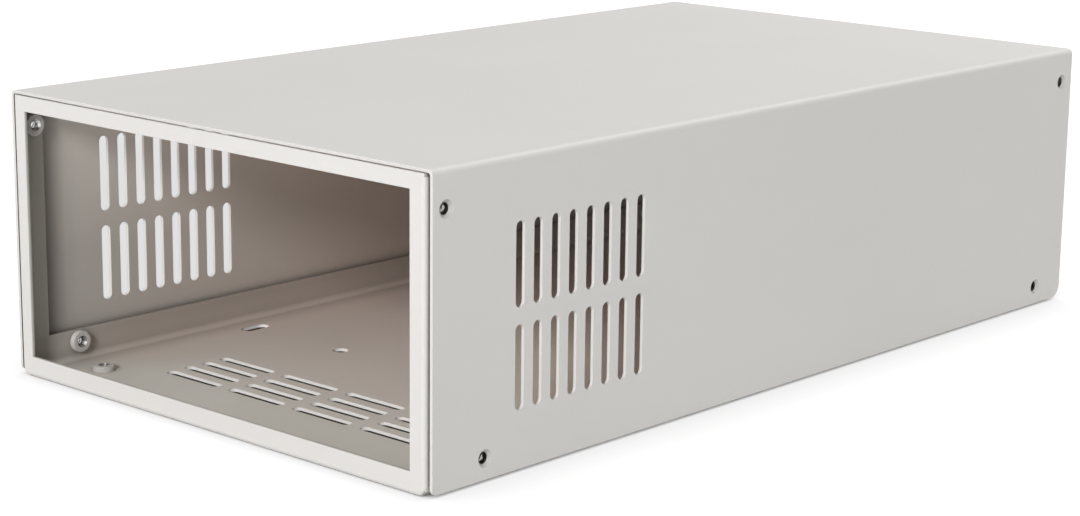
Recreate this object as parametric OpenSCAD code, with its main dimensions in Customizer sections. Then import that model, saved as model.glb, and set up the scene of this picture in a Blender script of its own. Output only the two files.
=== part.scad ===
// Sheet metal chassis: a folded base tray with a framed window in its front
// wall, closed by a folded inverted-U cover. Threaded nuts pressed into the
// tray take the cover's countersunk screws and what stands on the floor.
// Millimetres. Origin at the middle of the underside, +Z up, front towards -Y.

/* [Chassis] */
// Width over the cover's sides
body_w = 178; // [150:1:260]
// Depth over the cover's ends
body_d = 312; // [260:1:420]
// Height from the underside to the cover's top
body_h = 88; // [80:1:140]

/* [Sheet] */
// Thickness of the tray's sheet
tray_t = 1; // [0.8:0.1:1.5]
// Thickness of the cover's sheet
cover_t = 1; // [0.8:0.1:1.5]
// Inside radius of the bends round the tray's front and rear walls
wall_fold_r = 0.5; // [0.2:0.1:1.2]
// Inside radius of the bends between the floor and the tray's sides
side_fold_r = 1.8; // [1.3:0.1:2.2]
// Inside radius of the cover's folds
cover_fold_r = 0.8; // [0.4:0.1:1.8]
// Gap between the tray's sides and the cover's sides
side_gap = 1; // [0.1:0.1:2]
// Gap between the tray's walls and the cover's top
top_gap = 0.15; // [0:0.05:0.6]
// How far the tray's walls stand proud of the cover's ends
wall_proud = 1; // [0:0.1:2]
// Height of the cover's side edges above the underside
edge_lift = 0.8; // [0.2:0.1:2]
// Radius of the lower front corners of the cover's sides
front_corner_r = 1.8; // [0.5:0.1:5]
// Radius of the lower rear corners of the cover's sides
rear_corner_r = 4.5; // [0.5:0.5:8]

/* [Window] */
// Width of the frame strips left and right of the window
side_strip = 5.4; // [3:0.1:30]
// Width of the frame strip above the window
top_strip = 4.6; // [3:0.1:30]
// Width of the frame strip under the window
bottom_strip = 6.4; // [5:0.1:30]
// Height of the open notches at the walls' top corners
corner_notch = 1; // [0.5:0.1:3]
// How far the notches reach in from the tray's sides
notch_in = 0.5; // [0.3:0.1:2]

/* [Vent slots] */
// Length of a vent slot
vent_len = 23.8; // [16:0.1:26]
// Width of a vent slot
vent_w = 3.4; // [2:0.1:4.5]
// Distance between slots side by side
vent_pitch = 7.1; // [6:0.1:8]
// Distance between slots end to end
vent_row_pitch = 28.5; // [28:0.1:30]
// Slots side by side in each side of the cover
side_vents = 8; // [1:1:12]
// Slots end to end in each side of the cover
side_vent_rows = 2; // [1:1:2]
// Distance from the cover's front end to the first slot
side_vent_start = 33.2; // [26:0.1:60]
// Height of the middle of the side pattern
side_vent_rise = 43.7; // [42:0.1:46]
// Slots end to end across the floor
floor_vents = 4; // [1:1:4]
// Rows of slots in the floor
floor_vent_rows = 4; // [1:1:5]
// Distance from the cover's front end to the first row
floor_vent_start = 30; // [26:0.1:34]

/* [Screws] */
// Clearance hole for a screw in the cover
screw_hole_d = 3.3; // [3:0.1:3.6]
// Mouth of the countersink round each screw hole
sink_d = 5.2; // [4.6:0.1:6]
// Drop of the upper screws below the cover's top
top_screw_drop = 10.9; // [9:0.1:20]
// Setback of the upper front screws from the cover's end
front_top_setback = 5; // [4.6:0.1:12]
// Setback of the upper rear screws from the cover's end
rear_top_setback = 6; // [4.5:0.1:12]
// Height of the lower screws above the underside
bottom_screw_rise = 6.8; // [6.6:0.1:8]
// Setback of the lower front screws from the cover's end
front_bottom_setback = 20; // [18:0.5:60]
// Setback of the lower rear screws from the cover's end
rear_bottom_setback = 16; // [16:0.5:60]

/* [Pressed nuts] */
// Diameter of a nut's head
nut_d = 6.8; // [5.8:0.1:7]
// Height of a nut's head above the sheet
nut_h = 1.7; // [1:0.1:3]
// Diameter of the shank pressed into the sheet
shank_d = 4.2; // [3.8:0.1:4.6]
// Diameter of the threaded bore over the thread's crests
thread_d = 2.5; // [2.1:0.1:2.9]
// Mouth of the bore's lead-in
lead_d = 3.7; // [3.1:0.1:4.4]
// Chamfer round the head
nut_chamfer = 0.25; // [0.1:0.05:0.5]
// Sheet left past a nut's head at a flange's edge
flange_margin = 0.3; // [0.2:0.1:2]
// Distance of the floor nuts from the tray's sides
floor_nut_inset = 17; // [12:0.1:24]
// Distance of the floor nuts from the tray's walls
floor_nut_setback = 18; // [8:0.1:20]

/* [Floor holes] */
// Diameter of the two round mounting holes
floor_hole_d = 5; // [3:0.1:6]
// Distance between the round mounting holes
floor_hole_spacing = 70.4; // [30:0.1:90]
// Width of the two mounting slots
floor_slot_w = 4.5; // [3:0.1:6]
// Length of the two mounting slots
floor_slot_len = 10.5; // [8:0.1:16]
// Distance of the mounting slots from the tray's sides
floor_slot_inset = 11; // [8:0.1:20]
// Distance of the mounting holes from the cover's front end
floor_hole_setback = 84; // [74:0.5:120]

/* [Hidden] */
$fn = 48;
CUT = 1; // overshoot of cutting bodies past a sheet's faces

tray_w = body_w - 2 * (cover_t + side_gap);
tray_d = body_d + 2 * wall_proud;
tray_h = body_h - cover_t - top_gap;
wall_r = wall_fold_r + tray_t;
side_r = side_fold_r + tray_t;
cover_r = cover_fold_r + cover_t;

// The return flanges and the low side flanges just clear the nuts' heads.
nut_room = nut_d / 2 + flange_margin;
front_return = front_top_setback + wall_proud + nut_room;
rear_return = rear_top_setback + wall_proud + nut_room;
flange_h = bottom_screw_rise + nut_room;

// Screw places on one side: name, distance along Y, height.
front_y = -body_d / 2;
rear_y = body_d / 2;
top_screw_z = body_h - top_screw_drop;
SCREW_PLACES = [
    ["front_top", front_y + front_top_setback, top_screw_z],
    ["front_bottom", front_y + front_bottom_setback, bottom_screw_rise],
    ["rear_top", rear_y - rear_top_setback, top_screw_z],
    ["rear_bottom", rear_y - rear_bottom_setback, bottom_screw_rise],
];
SIDES = [["left", -1], ["right", 1]];
ENDS = [["front", -1], ["rear", 1]];

floor_nut_x = tray_w / 2 - floor_nut_inset;
floor_nut_y = tray_d / 2 - floor_nut_setback;

SIDE_NUTS = [for (s = SIDES) for (p = SCREW_PLACES) str("side_nut_", s[0], "_", p[0])];
FLOOR_NUTS = [for (e = ENDS) for (s = SIDES) str("floor_nut_", e[0], "_", s[0])];

PAINT = "#d6d5d2";
NUT_COAT = "#c6c4c0";

// A quarter bend of sheet, outer radius r, along +Z from the origin: it joins a
// sheet that runs off along Y to one that runs off along X.
module fold(r, t, length) {
    rotate([0, 0, 180])
        rotate_extrude(angle = 90)
            translate([r - t, 0])
                square([t, length]);
}

// Turn a fold's length from +Z to +X or +Y, round the corner that all share.
module turn_to_x() {
    rotate(a = 120, v = [1, 1, 1]) children();
}

module turn_to_y() {
    rotate(a = 240, v = [1, 1, 1]) children();
}

// The pressed lower corner of a wall, round the axis along Y through the origin:
// the wall's rounded corner, and the bend that leads back from its rim.
module corner_shell(wall_r, side_r, t) {
    reach = side_r - wall_r;
    turn_to_y()
        rotate([0, 0, 180])
            rotate_extrude(angle = 90) {
                translate([0, -wall_r])
                    square([reach, t]);
                translate([reach, 0])
                    intersection() {
                        difference() {
                            circle(r = wall_r);
                            circle(r = wall_r - t);
                        }
                        translate([0, -wall_r])
                            square(wall_r);
                    }
            }
}

// A slot with round ends, along X, cut through a sheet that lies at z = 0.
module slot_cut(length, width, t) {
    run = length - width;
    translate([-run / 2, -width / 2, -CUT])
        cube([run, width, t + 2 * CUT]);
    for (side = [-1, 1])
        translate([side * run / 2, 0, -CUT])
            cylinder(d = width, h = t + 2 * CUT);
}

// A grid of slots end to end along X and side by side along Y, from the origin.
module vent_cuts(count_x, count_y, t) {
    for (column = [0:count_x - 1])
        for (row = [0:count_y - 1])
            translate([(column - (count_x - 1) / 2) * vent_row_pitch, row * vent_pitch, 0])
                slot_cut(vent_len, vent_w, t);
}

// Turns a flat pattern, X up the side and Y towards the rear, onto a side of
// the body: z = 0 of the pattern lies at distance x from the middle.
module on_side(side, x) {
    translate([side * x, 0, 0])
        rotate([0, -90, 0])
            mirror([0, 0, side > 0 ? 1 : 0])
                children();
}

// One quarter of the tray, its corner towards -X and -Y: the bends along both
// edges, the upright bend and the corner between them, and the flat sheet.
module tray_quarter(wall_x, wall_y, return_len) {
    floor_x = wall_x - side_r;
    face_x = wall_x - wall_r;
    run_y = wall_y - wall_r;
    // Bends
    translate([-floor_x, -run_y, side_r]) {
        corner_shell(wall_r, side_r, tray_t);
        turn_to_y()
            fold(side_r, tray_t, run_y);
    }
    translate([-floor_x, -run_y, wall_r])
        turn_to_x()
            fold(wall_r, tray_t, floor_x);
    translate([-face_x, -run_y, side_r])
        fold(wall_r, tray_t, tray_h - side_r);
    // Return flange and low side flange, one sheet round the corner
    translate([-wall_x, -run_y, side_r])
        cube([tray_t, return_len - wall_r, tray_h - side_r]);
    translate([-wall_x, -run_y, side_r])
        cube([tray_t, run_y, flange_h - side_r]);
    // Floor and wall
    translate([-floor_x, -run_y, 0])
        cube([floor_x, run_y, tray_t]);
    translate([-floor_x, -wall_y, wall_r])
        cube([floor_x, tray_t, side_r - wall_r]);
    translate([-face_x, -wall_y, side_r])
        cube([face_x, tray_t, tray_h - side_r]);
}

module tray_blank() {
    for (side = [0, 1])
        mirror([side, 0, 0]) {
            tray_quarter(tray_w / 2, tray_d / 2, front_return);
            mirror([0, 1, 0])
                tray_quarter(tray_w / 2, tray_d / 2, rear_return);
        }
}

// Open notches that take the return flanges and half of each upright bend down.
module notch_cuts() {
    for (side = SIDES)
        translate([side[1] * (tray_w / 2 + CUT), 0, tray_h + CUT])
            cube([2 * (notch_in + CUT), tray_d + 2 * CUT, 2 * (corner_notch + CUT)], center = true);
}

module window_cut() {
    window_w = tray_w - 2 * side_strip;
    translate([-window_w / 2, -tray_d / 2 - CUT, bottom_strip])
        cube([window_w, tray_t + 2 * CUT, tray_h - top_strip - bottom_strip]);
}

module floor_cuts() {
    translate([0, front_y + floor_vent_start, 0])
        vent_cuts(floor_vents, floor_vent_rows, tray_t);
    for (side = [-1, 1]) {
        translate([side * floor_hole_spacing / 2, front_y + floor_hole_setback, -CUT])
            cylinder(d = floor_hole_d, h = tray_t + 2 * CUT);
        translate([side * (tray_w / 2 - floor_slot_inset), front_y + floor_hole_setback, 0])
            rotate([0, 0, 90])
                slot_cut(floor_slot_len, floor_slot_w, tray_t);
    }
}

// The room that a pressed nut takes: its hole in the sheet, and its flat seat
// where the head meets a bend. z = 0 is the sheet's face under the head.
module nut_cut(t) {
    translate([0, 0, -t - CUT])
        cylinder(d = shank_d, h = t + 2 * CUT);
    cylinder(d = nut_d, h = nut_h);
}

module base_tray() {
    color(PAINT)
        difference() {
            tray_blank();
            notch_cuts();
            window_cut();
            floor_cuts();
            for (side = SIDES)
                for (place = SCREW_PLACES)
                    at_screw(side[1], place) nut_cut(tray_t);
            for (end = ENDS)
                for (side = SIDES)
                    at_floor_nut(end[1], side[1]) nut_cut(tray_t);
        }
}

// Puts a nut's seat on the inner face of the tray's side, its head inwards.
module at_screw(side, place) {
    translate([side * (tray_w / 2 - tray_t), place[1], place[2]])
        rotate([0, -90 * side, 0])
            children();
}

module at_floor_nut(end, side) {
    translate([side * floor_nut_x, end * floor_nut_y, tray_t])
        children();
}

// A nut with its head above z = 0 and its shank in the sheet below.
module pressed_nut() {
    difference() {
        union() {
            cylinder(d = nut_d, h = nut_h - nut_chamfer);
            translate([0, 0, nut_h - nut_chamfer])
                cylinder(d1 = nut_d, d2 = nut_d - 2 * nut_chamfer, h = nut_chamfer);
            translate([0, 0, -tray_t])
                cylinder(d = shank_d, h = tray_t);
        }
        translate([0, 0, -tray_t - CUT])
            cylinder(d = thread_d, h = tray_t + nut_h + 2 * CUT);
        lead_h = (lead_d - thread_d) / 2;
        translate([0, 0, nut_h - lead_h])
            cylinder(d1 = thread_d, d2 = lead_d, h = lead_h);
    }
}

module side_nut(side, place) {
    color(NUT_COAT)
        at_screw(side, place) pressed_nut();
}

module floor_nut(end, side) {
    color(NUT_COAT)
        at_floor_nut(end, side) pressed_nut();
}

// Takes the square corner off a sheet in the XY plane: the corner is at the
// origin and the sheet runs off along +X and +Y.
module corner_cut(r, t) {
    difference() {
        translate([-CUT, -CUT, -CUT])
            cube([r + CUT, r + CUT, t + 2 * CUT]);
        translate([r, r, -2 * CUT])
            cylinder(r = r, h = t + 4 * CUT);
    }
}

// A countersunk hole, its mouth on the face at z = t.
module sink_cut(t) {
    sink_h = (sink_d - screw_hole_d) / 2;
    translate([0, 0, -CUT])
        cylinder(d = screw_hole_d, h = t + 2 * CUT);
    translate([0, 0, t - sink_h])
        cylinder(d1 = screw_hole_d, d2 = sink_d, h = sink_h);
}

// One side of the cover lying flat: X up the side, Y towards the rear, its
// inner face at z = 0.
module cover_side() {
    top = body_h - cover_r;
    difference() {
        translate([edge_lift, front_y, 0])
            cube([top - edge_lift, body_d, cover_t]);
        translate([edge_lift, front_y, 0])
            corner_cut(front_corner_r, cover_t);
        translate([edge_lift, rear_y, 0])
            mirror([0, 1, 0])
                corner_cut(rear_corner_r, cover_t);
        translate([side_vent_rise, front_y + side_vent_start, 0])
            vent_cuts(side_vent_rows, side_vents, cover_t);
        for (place = SCREW_PLACES)
            translate([place[2], place[1], 0])
                sink_cut(cover_t);
    }
}

module cover() {
    color(PAINT) {
        translate([-body_w / 2 + cover_r, front_y, body_h - cover_t])
            cube([body_w - 2 * cover_r, body_d, cover_t]);
        for (side = [0, 1])
            mirror([side, 0, 0])
                translate([-body_w / 2 + cover_r, front_y, body_h - cover_r])
                    rotate([-90, 0, 0])
                        fold(cover_r, cover_t, body_d);
        for (side = [-1, 1])
            on_side(side, body_w / 2 - cover_t) cover_side();
    }
}

base_tray();
cover();
for (side = SIDES)
    for (place = SCREW_PLACES)
        side_nut(side[1], place);
for (end = ENDS)
    for (side = SIDES)
        floor_nut(end[1], side[1]);
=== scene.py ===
import math

import bmesh
import bpy
from mathutils import Matrix, Vector


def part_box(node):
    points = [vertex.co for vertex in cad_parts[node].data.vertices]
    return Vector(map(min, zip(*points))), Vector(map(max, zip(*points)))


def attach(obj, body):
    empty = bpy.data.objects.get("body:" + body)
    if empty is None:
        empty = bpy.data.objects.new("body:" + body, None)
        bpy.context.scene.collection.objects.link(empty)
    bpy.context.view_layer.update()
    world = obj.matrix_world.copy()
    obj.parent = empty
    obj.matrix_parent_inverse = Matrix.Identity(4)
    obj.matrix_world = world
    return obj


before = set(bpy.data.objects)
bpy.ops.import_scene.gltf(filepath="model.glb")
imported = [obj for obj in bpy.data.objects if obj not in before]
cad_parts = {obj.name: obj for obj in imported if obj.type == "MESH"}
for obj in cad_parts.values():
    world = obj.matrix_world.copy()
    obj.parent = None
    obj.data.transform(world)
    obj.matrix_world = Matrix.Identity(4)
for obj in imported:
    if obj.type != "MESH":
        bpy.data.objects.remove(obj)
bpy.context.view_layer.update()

MM = 0.001
WHITE = (1.0, 1.0, 1.0)
SIDES = ("left", "right")
CORNERS = ("front_top", "front_bottom", "rear_top", "rear_bottom")
SIDE_NUTS = [f"side_nut_{side}_{corner}" for side in SIDES for corner in CORNERS]
FLOOR_NUTS = [f"floor_nut_{end}_{side}" for end in ("front", "rear") for side in SIDES]

# The camera: its place in metres, its lens and where it looks.
LENS_MM = 84.17
SENSOR_MM = 36.0
CAMERA_AT = (0.53288, -0.60469, 0.21032)
CAMERA_AHEAD = (-0.65458, 0.72203, -0.22404)
CAMERA_UP = (-0.15892, 0.15832, 0.97452)
CAMERA_CLIP = (0.01, 50.0)

# Noise lies mostly between these values.
MOST_NOISE = (0.3, 0.7)

# The powder coat: a light grey with a faint pebble and darker patches where it is worn thin.
# Painted shade darkens its countersinks and inner corners, and a painted highlight lightens cut
# walls.
COAT = (0.705, 0.690, 0.668)
COAT_SHADE = (0.680, 0.662, 0.638)
COAT_WORN = (0.550, 0.520, 0.480)
# Painted shade for the countersinks' cut faces.
COAT_SUNK_SHADE = (0.500, 0.488, 0.466)
# Painted highlight for the floor slots' cut walls.
COAT_CUT_HIGHLIGHT = (0.800, 0.785, 0.760)
# Painted shade for the inner corners and creases.
COAT_CREVICE_SHADE = (0.200, 0.180, 0.160)
COAT_ROUGH = (0.41, 0.53)
COAT_SPECULAR = 0.42
NUT_SHADE = 0.86
# The corners' painted shade by ambient occlusion: its reach, share and span.
CREVICE_SHADE_MM = 11.0
CREVICE_SHADE_SHARE = 0.80
CREVICE_SHADE_SPAN = (0.30, 0.97)
EDGE_ROUND_MM = 0.22
PEBBLE_MM = 0.55
PEBBLE_HEIGHT_MM = 0.04
WAVE_MM = 3.5
WAVE_HEIGHT_MM = 0.06
PATCH_PER_M = 9.0
SPECK_MM = PEBBLE_MM / 1.4
WORN_SHARE = 0.05

# Painted light and shade indoors: the coat's tones by the window, at the middle and at the far
# end, darker than outside, warmer in the middle and darker at the far end.
COAT_INSIDE_SHADE = (0.520, 0.500, 0.470)
COAT_MIDDLE_WARM_LIGHT = (0.600, 0.502, 0.445)
COAT_FAR_SHADE = (0.440, 0.400, 0.370)
FLOOR_NEAR_LIT = (0.548, 0.540, 0.494)
FLOOR_MIDDLE_WARM_SHADE = (0.500, 0.420, 0.374)

# Stretches in metres along one axis for the painted light and shade indoors, some with the
# value at either end.
MIDDLE_DEPTHS = (-0.150, 0.020)
FAR_DEPTHS = (0.020, 0.090)
NEAR_DEPTHS = (-0.150, -0.105)
# Painted shade on the tray's floor: a darker left front corner, and darker towards the left.
WARM_SHADE_DEPTHS = (-0.150, -0.115)
WARM_SHADE_ACROSS = (-0.086, -0.055, 0.7, 0.0)
FLOOR_SIDE_SHADE = (-0.086, -0.020, 0.86, 1.0)
# Painted light: the tray's floor and the cover's upper inner faces are lighter by height.
FLOOR_HEIGHT_LIGHT = (0.001, 0.009, 1.56, 1.0)
WALL_HEIGHT_LIGHT = (0.035, 0.080, 1.0, 1.45)
# Painted shadow on the cover's inner faces just behind the tray's flange.
FLANGE_SHADOW_DEPTHS = (-0.1475, -0.1385, 0.42, 1.0)

# Boxes in mm: half width, half depth, bottom and top.
TRAY_INSIDE = (86.5, 156.5, 0.5, 87.5)
TRAY_HIDDEN = (87.05, 155.4, 3.0, 86.9)
TRAY_SLOTS = (80.0, 150.0, 0.06, 0.94)
COVER_INSIDE = (88.03, 155.95, 0.0, 87.5)
COVER_SHEET = (88.97, 155.9, 3.0, 84.0)
WITHIN_COVER = (88.04, 160.0, 0.0, 90.0)
BETWEEN_SCREWS = (90.0, 131.0, 0.0, 90.0)
NUT_HEADS = (86.4, 150.0, 0.6, 86.0)

# The nuts' bare steel, with painted shade deep in the bores. The liners lie just inside the
# solid bores.
STEEL = (0.66, 0.655, 0.64)
STEEL_STAIN = tuple(c * 0.8 for c in STEEL)
# Painted shade deep in the nuts' bores.
STEEL_BORE_SHADE = (0.035, 0.033, 0.030)
STEEL_ROUGH = (0.16, 0.30)
STAIN_PER_M = 1500.0
GRAIN_PER_M = 6000.0
GRAIN_HEIGHT_MM = 0.02
# The bores' painted shade by ambient occlusion: its reach and span.
BORE_SHADE_MM = 2.5
BORE_SHADE_SPAN = (0.35, 0.85)
BORE_D = 2.5
LEAD_D = 3.7
SHANK_D = 4.2
LINER_MM = 0.02
LINER_WALL_MM = 0.12
RIM_MM = 0.01
LEAD_BACK_MM = 0.1
END_BACK_MM = 0.03
END_PROUD_MM = 0.01
RING_STEPS = 48
THREAD_STEPS = 28
THREAD_START_MM = 0.3
THREAD_PITCH_MM = 0.5
THREAD_DEPTH_MM = 0.13
THREAD_ROOT_MM = 0.03
THREAD_FADE_STEPS = 8
RIDGE = ((-0.42, 0.0), (-0.10, 1.0), (0.10, 1.0), (0.42, 0.0))

# The floor: its glow, the light it takes and the shades on it.
FLOOR_SIZE_M = 6.0
FLOOR_DROP_MM = 0.1
FLOOR_GREY = (0.80, 0.80, 0.80)
FLOOR_GLOW = 1.02
FLOOR_VEIL = (0.12, 0.12, 0.12)
GLOW_FADES = (0.7, 2.2)
FOOT_SHADE_MM = 40.0
FOOT_SHADE_POWER = 0.42
UNDER_BOX = (84.0, 155.0, -5.0, 5.0)
# Painted shade: the floor's darker colour under the chassis.
UNDER_SHADE_VEIL = (0.06, 0.058, 0.055)
CONTACT_MM = 0.4
# The soft shade on the floor behind the chassis: its direction, share and edges in metres.
LEE_COS, LEE_SIN = 0.584, 0.812
LEE_SHARE = 0.36
LEE_ACROSS = ((-0.186, -0.143, 0.0, 1.0), (-0.09, 0.05, 1.0, 0.0))
LEE_ALONG = ((-0.03, 0.07, 0.0, 1.0), (0.34, 0.60, 1.0, 0.0))

# The light: the world's strength, and each lamp's place, aim, size in metres and watts.
AMBIENT = 0.25
AMBIENT_COLOUR = (1.0, 0.99, 0.98)
LAMPS = {
    "lamp_front": ((0.806, -2.314, 1.149), (0, -0.1, 0.05), (0.5, 0.5), 35.5),
    "lamp_low": ((0.881, -2.519, 0.412), (0, -0.1, 0.05), (0.9, 0.7), 13.5),
    "lamp_left": ((-1.178, -2.141, 1.149), (0, -0.1, 0.05), (0.9, 0.7), 5.0),
    "lamp_right": ((1.20, 0.10, 1.10), (0, 0, 0.05), (1.0, 0.6), 2.9),
    "lamp_back": ((0.10, 1.10, 1.20), (0, 0, 0.08), (1.2, 0.8), 10.3),
    "lamp_far_left": ((-1.60, 0.10, 0.35), (0, 0, 0.05), (1.2, 0.5), 3.0),
}


# ---------------------------------------------------------------- objects

def add_object(name, data):
    obj = bpy.data.objects.new(name, data)
    bpy.context.scene.collection.objects.link(obj)
    return obj


def add_mesh(name, bm):
    mesh = bpy.data.meshes.new(name)
    bm.to_mesh(mesh)
    bm.free()
    return add_object(name, mesh)


def paint(obj, material):
    obj.data.materials.clear()
    obj.data.materials.append(material)


def add_camera():
    data = bpy.data.cameras.new("camera")
    data.sensor_width = SENSOR_MM
    data.lens = LENS_MM
    data.clip_start, data.clip_end = CAMERA_CLIP
    cam = add_object("camera", data)
    ahead = Vector(CAMERA_AHEAD).normalized()
    right = ahead.cross(Vector(CAMERA_UP)).normalized()
    up = right.cross(ahead)
    turn = Matrix((right, up, -ahead)).transposed().to_4x4()
    cam.matrix_world = Matrix.Translation(CAMERA_AT) @ turn
    bpy.context.scene.camera = cam


# ---------------------------------------------------------------- node helpers

class Nodes:
    """A short way to write the nodes of one material or world."""

    def __init__(self, owner):
        self.owner = owner
        owner.use_nodes = True
        self.tree = owner.node_tree
        self.tree.nodes.clear()

    def add(self, kind, **inputs):
        """A node with its sockets set, by name, or by number as i0, i1 and so on."""
        node = self.tree.nodes.new(kind)
        for key, value in inputs.items():
            self.put(node, key, value)
        return node

    def put(self, node, key, value):
        numbered = key[0] == "i" and key[1:].isdigit()
        socket = node.inputs[int(key[1:]) if numbered else key.replace("_", " ")]
        if isinstance(value, bpy.types.NodeSocket):
            self.tree.links.new(value, socket)
        elif isinstance(value, tuple) and len(value) == 3 and socket.type == "RGBA":
            socket.default_value = (*value, 1.0)
        else:
            socket.default_value = value

    def math(self, operation, a, b=0.0, clamp=False):
        node = self.tree.nodes.new("ShaderNodeMath")
        node.operation = operation
        node.use_clamp = clamp
        self.put(node, "i0", a)
        self.put(node, "i1", b)
        return node.outputs[0]

    def times(self, first, *others):
        for other in others:
            first = self.math("MULTIPLY", first, other)
        return first

    def mix(self, factor, a, b):
        node = self.tree.nodes.new("ShaderNodeMix")
        node.data_type = "RGBA"
        for key, value in (("i0", factor), ("i6", a), ("i7", b)):
            self.put(node, key, value)
        return node.outputs[2]

    def span(self, value, low, high, to_low=0.0, to_high=1.0, way="LINEAR"):
        """to_low where value is low or less, to_high where it is high or more."""
        node = self.tree.nodes.new("ShaderNodeMapRange")
        node.interpolation_type = way
        for number, v in enumerate((value, low, high, to_low, to_high)):
            self.put(node, f"i{number}", v)
        return node.outputs[0]

    def noise(self, place, per_metre, detail=2.0, rough=0.5):
        node = self.add("ShaderNodeTexNoise", Vector=place, Scale=per_metre, Detail=detail,
                        Roughness=rough)
        return node.outputs[0]

    def occlusion_shade(self, reach_mm, low, high, share=1.0, samples=6):
        """A painted shade from ambient occlusion: share in the closest corners, 0 in the open.
        """
        node = self.add("ShaderNodeAmbientOcclusion", Distance=reach_mm * MM)
        node.samples = samples
        return self.span(node.outputs["AO"], low, high, share, 0.0)

    def place(self):
        return self.tree.nodes.new("ShaderNodeTexCoord").outputs["Object"]

    def split(self, place):
        return self.add("ShaderNodeSeparateXYZ", Vector=place).outputs

    def within(self, place, box):
        """1 inside the box, 0 outside it."""
        x, y, z = self.split(place)
        half_x, half_y, low, high = (v * MM for v in box)
        return self.times(
            self.math("LESS_THAN", self.math("ABSOLUTE", x), half_x),
            self.math("LESS_THAN", self.math("ABSOLUTE", y), half_y),
            self.math("GREATER_THAN", z, low), self.math("LESS_THAN", z, high))

    def seen(self, path):
        """1 for what the camera sees, also by way of a reflection or through glass."""
        mirrored = self.math("MAXIMUM", path.outputs["Is Glossy Ray"],
                             path.outputs["Is Transmission Ray"])
        return self.math("MAXIMUM", path.outputs["Is Camera Ray"], mirrored)

    def bump(self, height, height_mm, strength, normal=None):
        node = self.add("ShaderNodeBump", Strength=strength, Distance=height_mm * MM,
                        Height=height)
        if normal:
            self.put(node, "Normal", normal)
        return node.outputs[0]

    def out(self, shader, kind="ShaderNodeOutputMaterial"):
        self.add(kind, Surface=shader)
        return self.owner


# ---------------------------------------------------------------- materials

def inside_shade_tone(n, at, tone, deep, lift, near=None, side=None, behind=None):
    """Painted light and shade on the coat's inner faces: darker than outside, darker with
    depth, and much darker in the corners, with a few worn patches.

    deep is its tone at the middle depth, and near one for the tray's floor by the window, whose
    left front corner is also shaded.
    lift gives how much lighter it is by height, a painted light; side and behind give painted
    shade by place across and by depth.
    """
    across, depth, height = n.split(at)
    colour = n.mix(n.span(depth, *MIDDLE_DEPTHS), COAT_INSIDE_SHADE, deep)
    if near:
        colour = n.mix(n.span(depth, *NEAR_DEPTHS), near, colour)
        # Painted shade: the floor's left front corner turns to the darker middle tone.
        warm = n.times(n.span(across, *WARM_SHADE_ACROSS), n.span(depth, *WARM_SHADE_DEPTHS))
        colour = n.mix(warm, colour, deep)
    colour = n.mix(n.span(depth, *FAR_DEPTHS), colour, COAT_FAR_SHADE)
    # Painted light by height, and painted shade across and behind the flange, as one scale.
    much = n.span(height, *lift)
    if side:
        much = n.times(much, n.span(across, *side))
    if behind:
        much = n.times(much, n.span(depth, *behind))
    scaled = n.add("ShaderNodeVectorMath", i0=colour, i3=much)
    scaled.operation = "SCALE"
    colour = n.mix(n.span(tone, 0.0, 1.0, WORN_SHARE, 0.0), scaled.outputs[0], COAT_WORN)
    # Painted shade: inner corners and creases darken by ambient occlusion.
    return n.mix(n.occlusion_shade(CREVICE_SHADE_MM, *CREVICE_SHADE_SPAN, CREVICE_SHADE_SHARE), colour, COAT_CREVICE_SHADE)


def coat_tone(n, at):
    """0 to 1: broad patches and fine specks."""
    broad = n.noise(at, PATCH_PER_M, 3.0, 0.55)
    speck = n.noise(at, 1.0 / (SPECK_MM * MM), 2.0, 0.6)
    return n.math("ADD", n.span(broad, 0.35, 0.65, 0.0, 0.7),
                  n.span(speck, *MOST_NOISE, -0.15, 0.15), clamp=True)


def outside_tone(n, tone, shade=1.0):
    return n.mix(tone, tuple(c * shade for c in COAT_SHADE), tuple(c * shade for c in COAT))


def coat_shader(n, at, colour):
    """Textured powder coat of one colour: a pebble, a slow wave and softened edges."""
    pebble = n.noise(at, 1.0 / (PEBBLE_MM * MM), 1.5, 0.45)
    wave = n.noise(at, 1.0 / (WAVE_MM * MM), 1.0, 0.4)
    soft_edge = n.add("ShaderNodeBevel", Radius=EDGE_ROUND_MM * MM)
    soft_edge.samples = 6
    swell = n.bump(wave, WAVE_HEIGHT_MM, 0.25, soft_edge.outputs[0])
    shader = n.add("ShaderNodeBsdfPrincipled", Base_Color=colour,
                   Roughness=n.span(pebble, *MOST_NOISE, *COAT_ROUGH),
                   Normal=n.bump(pebble, PEBBLE_HEIGHT_MM, 0.35, swell))
    shader.inputs["Specular IOR Level"].default_value = COAT_SPECULAR
    return n.out(shader.outputs[0])


def tray_coat():
    """The tray's coat, with painted shade on its inner faces and on its outer faces under the
    cover, painted light on its floor, and a painted highlight on the cut walls of the floor's
    slots.
    """
    n = Nodes(bpy.data.materials.new("tray_coat"))
    at = n.place()
    tone = coat_tone(n, at)
    inner = inside_shade_tone(n, at, tone, FLOOR_MIDDLE_WARM_SHADE, FLOOR_HEIGHT_LIGHT, FLOOR_NEAR_LIT, FLOOR_SIDE_SHADE)
    # Painted shade: the tray's inner faces, and its outer faces under the cover, take the
    # darker inside tones.
    shaded_faces = n.math("MAXIMUM", n.within(at, TRAY_INSIDE), n.within(at, TRAY_HIDDEN))
    colour = n.mix(shaded_faces, outside_tone(n, tone), inner)
    # Painted highlight: the cut walls of the floor's slots take a lighter tone.
    return coat_shader(n, at, n.mix(n.within(at, TRAY_SLOTS), colour, COAT_CUT_HIGHLIGHT))


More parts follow.
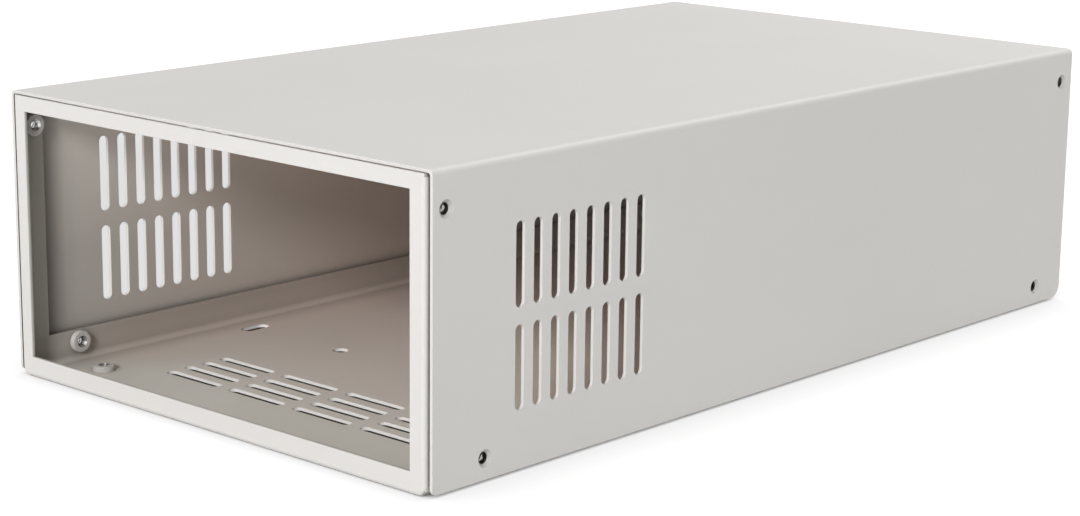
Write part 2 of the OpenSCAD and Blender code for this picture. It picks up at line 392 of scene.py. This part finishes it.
def cover_coat():
    """The cover's coat, with painted shade on its inner faces and on the countersinks, a
    painted shadow behind the tray's flange, and painted light on its upper inner faces.
    """
    n = Nodes(bpy.data.materials.new("cover_coat"))
    at = n.place()
    tone = coat_tone(n, at)
    # Painted light and shade on the cover's inner faces.
    inner = inside_shade_tone(n, at, tone, COAT_MIDDLE_WARM_LIGHT, WALL_HEIGHT_LIGHT, behind=FLANGE_SHADOW_DEPTHS)
    colour = n.mix(n.within(at, COVER_INSIDE), outside_tone(n, tone), inner)
    # Painted shade: the sheet's cut faces by the screw holes, the countersinks, take a darker
    # tone.
    countersink_shade = n.within(at, COVER_SHEET)
    for box in (WITHIN_COVER, BETWEEN_SCREWS):
        countersink_shade = n.math("SUBTRACT", countersink_shade, n.within(at, box), clamp=True)
    return coat_shader(n, at, n.mix(countersink_shade, colour, COAT_SUNK_SHADE))


def nut_coat():
    """The nuts' coat, a little darker than the sheet's."""
    n = Nodes(bpy.data.materials.new("nut_coat"))
    at = n.place()
    return coat_shader(n, at, outside_tone(n, coat_tone(n, at), NUT_SHADE))


def bare_steel():
    """Turned steel, a little dull, for the threads, with painted shade deep in the nuts' bores.
    """
    n = Nodes(bpy.data.materials.new("bare_steel"))
    at = n.place()
    stain = n.noise(at, STAIN_PER_M, 3.0, 0.6)
    colour = n.mix(n.span(stain, *MOST_NOISE), STEEL_STAIN, STEEL)
    # Painted shade: the steel darkens deep in the bores, by ambient occlusion.
    bore_shade = n.times(n.occlusion_shade(BORE_SHADE_MM, *BORE_SHADE_SPAN), n.within(at, NUT_HEADS))
    shader = n.add("ShaderNodeBsdfPrincipled", Base_Color=n.mix(bore_shade, colour, STEEL_BORE_SHADE),
                   Roughness=n.span(stain, *MOST_NOISE, *STEEL_ROUGH),
                   Normal=n.bump(n.noise(at, GRAIN_PER_M, 1.0), GRAIN_HEIGHT_MM, 0.3))
    shader.inputs["Metallic"].default_value = 1.0
    return n.out(shader.outputs[0])


# ---------------------------------------------------------------- threads

class Bore:
    """A pressed nut's bore: its outer end, its direction inward and its length in mm."""

    def __init__(self, node):
        low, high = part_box(node)
        mid = (low + high) / 2
        if node in FLOOR_NUTS:
            self.start, self.along = Vector((mid.x, mid.y, low.z)), Vector((0, 0, 1))
            self.length = (high.z - low.z) / MM
        else:
            left = mid.x < 0
            self.start = Vector((low.x if left else high.x, mid.y, mid.z))
            self.along = Vector((1 if left else -1, 0, 0))
            self.length = (high.x - low.x) / MM
        self.across = self.along.orthogonal().normalized()
        self.other = self.along.cross(self.across)

    def point(self, depth, radius, angle):
        """A point at a depth and radius in mm."""
        ray = math.cos(angle) * self.across + math.sin(angle) * self.other
        return self.start + self.along * (depth * MM) + ray * (radius * MM)


def join(bm, a, b):
    """The band of faces between two closed rows of points."""
    for i in range(len(a)):
        j = (i + 1) % len(a)
        bm.faces.new((a[i], a[j], b[j], b[i]))


def add_liner(bm, bore, end):
    """A thin ring round the bore, its lead-in and its shank's end, closed on itself."""
    whole, lead = bore.length, (LEAD_D - BORE_D) / 2
    inner, mouth = BORE_D / 2 - LINER_MM, LEAD_D / 2 - LINER_MM
    outer, shank = inner + LINER_WALL_MM, SHANK_D / 2 - LINER_MM
    profile = ((end, inner), (whole - lead, inner), (whole - RIM_MM, mouth),
               (whole - RIM_MM, mouth + RIM_MM), (whole - lead - LEAD_BACK_MM, outer),
               (END_BACK_MM, outer), (END_BACK_MM, shank), (end, shank))
    rows = []
    for k in range(RING_STEPS):
        angle = 2 * math.pi * k / RING_STEPS
        rows.append([bm.verts.new(bore.point(at, r, angle)) for at, r in profile])
    for k in range(RING_STEPS):
        join(bm, rows[k], rows[(k + 1) % RING_STEPS])


def add_ridge(bm, bore):
    """The thread's helical ridge, which fades out at both ends."""
    root = BORE_D / 2 - LINER_MM
    last = bore.length - (LEAD_D - BORE_D) / 2 - LEAD_BACK_MM
    count = int((last - THREAD_START_MM) / THREAD_PITCH_MM * THREAD_STEPS)
    rows = []
    for k in range(count + 1):
        angle = 2 * math.pi * k / THREAD_STEPS
        at = THREAD_START_MM + THREAD_PITCH_MM * k / THREAD_STEPS
        fade = min(1.0, k / THREAD_FADE_STEPS, (count - k) / THREAD_FADE_STEPS)
        row = []
        for shift, rise in RIDGE:
            radius = root - THREAD_DEPTH_MM * fade * rise if rise else root + THREAD_ROOT_MM
            row.append(bm.verts.new(bore.point(at + shift * THREAD_PITCH_MM, radius, angle)))
        rows.append(row)
    for a, b in zip(rows, rows[1:]):
        join(bm, a, b)
    bm.faces.new(rows[0][::-1])
    bm.faces.new(rows[-1])


def add_thread(node, material):
    """A nut's bare steel: its shank's end, its lead-in, its bore and the ridge on it."""
    bore = Bore(node)
    bm = bmesh.new()
    add_liner(bm, bore, END_PROUD_MM if node in FLOOR_NUTS else -END_PROUD_MM)
    add_ridge(bm, bore)
    bmesh.ops.recalc_face_normals(bm, faces=bm.faces)
    obj = add_mesh(f"thread_{node}", bm)
    paint(obj, material)
    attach(obj, "root")


# ---------------------------------------------------------------- stage and light

def floor_glow(n, at, under):
    """How bright the floor looks: it dims behind the chassis, round its foot and under it."""
    x, y, _ = n.split(at)
    across = n.math("ADD", n.times(x, LEE_COS), n.times(y, LEE_SIN))
    along = n.math("SUBTRACT", n.times(y, LEE_COS), n.times(x, LEE_SIN))
    edges = [(across, edge) for edge in LEE_ACROSS] + [(along, edge) for edge in LEE_ALONG]
    lee = n.times(LEE_SHARE, *(n.span(value, *edge, "SMOOTHSTEP") for value, edge in edges))
    far = n.add("ShaderNodeVectorMath", i0=at)
    far.operation = "LENGTH"
    foot = n.add("ShaderNodeAmbientOcclusion", Distance=FOOT_SHADE_MM * MM)
    foot.samples = 8
    return n.times(n.math("POWER", foot.outputs["AO"], FOOT_SHADE_POWER),
                   n.span(far.outputs["Value"], *GLOW_FADES, FLOOR_GLOW, 1.0),
                   n.math("SUBTRACT", 1.0, under), n.math("SUBTRACT", 1.0, lee))


def floor_paint():
    """Plain grey for the light it gives back, near white to the camera, clear from below."""
    n = Nodes(bpy.data.materials.new("floor"))
    at = n.place()
    path = n.add("ShaderNodeLightPath")
    under = n.within(at, UNDER_BOX)
    lit = n.add("ShaderNodeBsdfDiffuse", Color=FLOOR_GREY)
    # Under the chassis the floor takes a darker grey, a painted shade.
    veil = n.add("ShaderNodeBsdfDiffuse", Color=n.mix(under, FLOOR_VEIL, UNDER_SHADE_VEIL))
    glow = n.add("ShaderNodeEmission", Color=WHITE, Strength=floor_glow(n, at, under))
    pale = n.add("ShaderNodeAddShader", i0=veil.outputs[0], i1=glow.outputs[0])
    shown = n.add("ShaderNodeMixShader", i0=n.seen(path), i1=lit.outputs[0], i2=pale.outputs[0])
    # It lets the light by where something stands on it, so the underside isn't black.
    close = n.math("LESS_THAN", path.outputs["Ray Length"], CONTACT_MM * MM)
    back = n.add("ShaderNodeNewGeometry").outputs["Backfacing"]
    clear = n.add("ShaderNodeBsdfTransparent")
    both = n.add("ShaderNodeMixShader", i0=n.math("MAXIMUM", back, close), i1=shown.outputs[0],
                 i2=clear.outputs[0])
    return n.out(both.outputs[0])


def add_floor():
    bm = bmesh.new()
    bmesh.ops.create_grid(bm, x_segments=1, y_segments=1, size=FLOOR_SIZE_M)
    obj = add_mesh("floor", bm)
    obj.location = (0, 0, -FLOOR_DROP_MM * MM)
    paint(obj, floor_paint())


def add_world():
    """A weak ambient light behind a white that the camera sees."""
    world = bpy.data.worlds.new("world")
    bpy.context.scene.world = world
    n = Nodes(world)
    ambient = n.add("ShaderNodeBackground", Color=AMBIENT_COLOUR, Strength=AMBIENT)
    white = n.add("ShaderNodeBackground", Color=WHITE, Strength=1.0)
    mix = n.add("ShaderNodeMixShader", i0=n.seen(n.add("ShaderNodeLightPath")),
                i1=ambient.outputs[0], i2=white.outputs[0])
    n.out(mix.outputs[0], "ShaderNodeOutputWorld")


def add_lamp(name, at, aim, size, watts):
    data = bpy.data.lights.new(name, "AREA")
    data.shape = "RECTANGLE"
    data.size, data.size_y = size
    data.energy = watts
    obj = add_object(name, data)
    obj.location = at
    obj.rotation_mode = "QUATERNION"
    obj.rotation_quaternion = (Vector(aim) - Vector(at)).to_track_quat("-Z", "Y")


# ---------------------------------------------------------------- scene

add_camera()
add_floor()
add_world()
for lamp, settings in LAMPS.items():
    add_lamp(lamp, *settings)

paint(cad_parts["base_tray"], tray_coat())
paint(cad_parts["cover"], cover_coat())
nut, steel = nut_coat(), bare_steel()
for node_name in SIDE_NUTS + FLOOR_NUTS:
    paint(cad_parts[node_name], nut)
    add_thread(node_name, steel)

bpy.context.scene.view_settings.view_transform = "Standard"
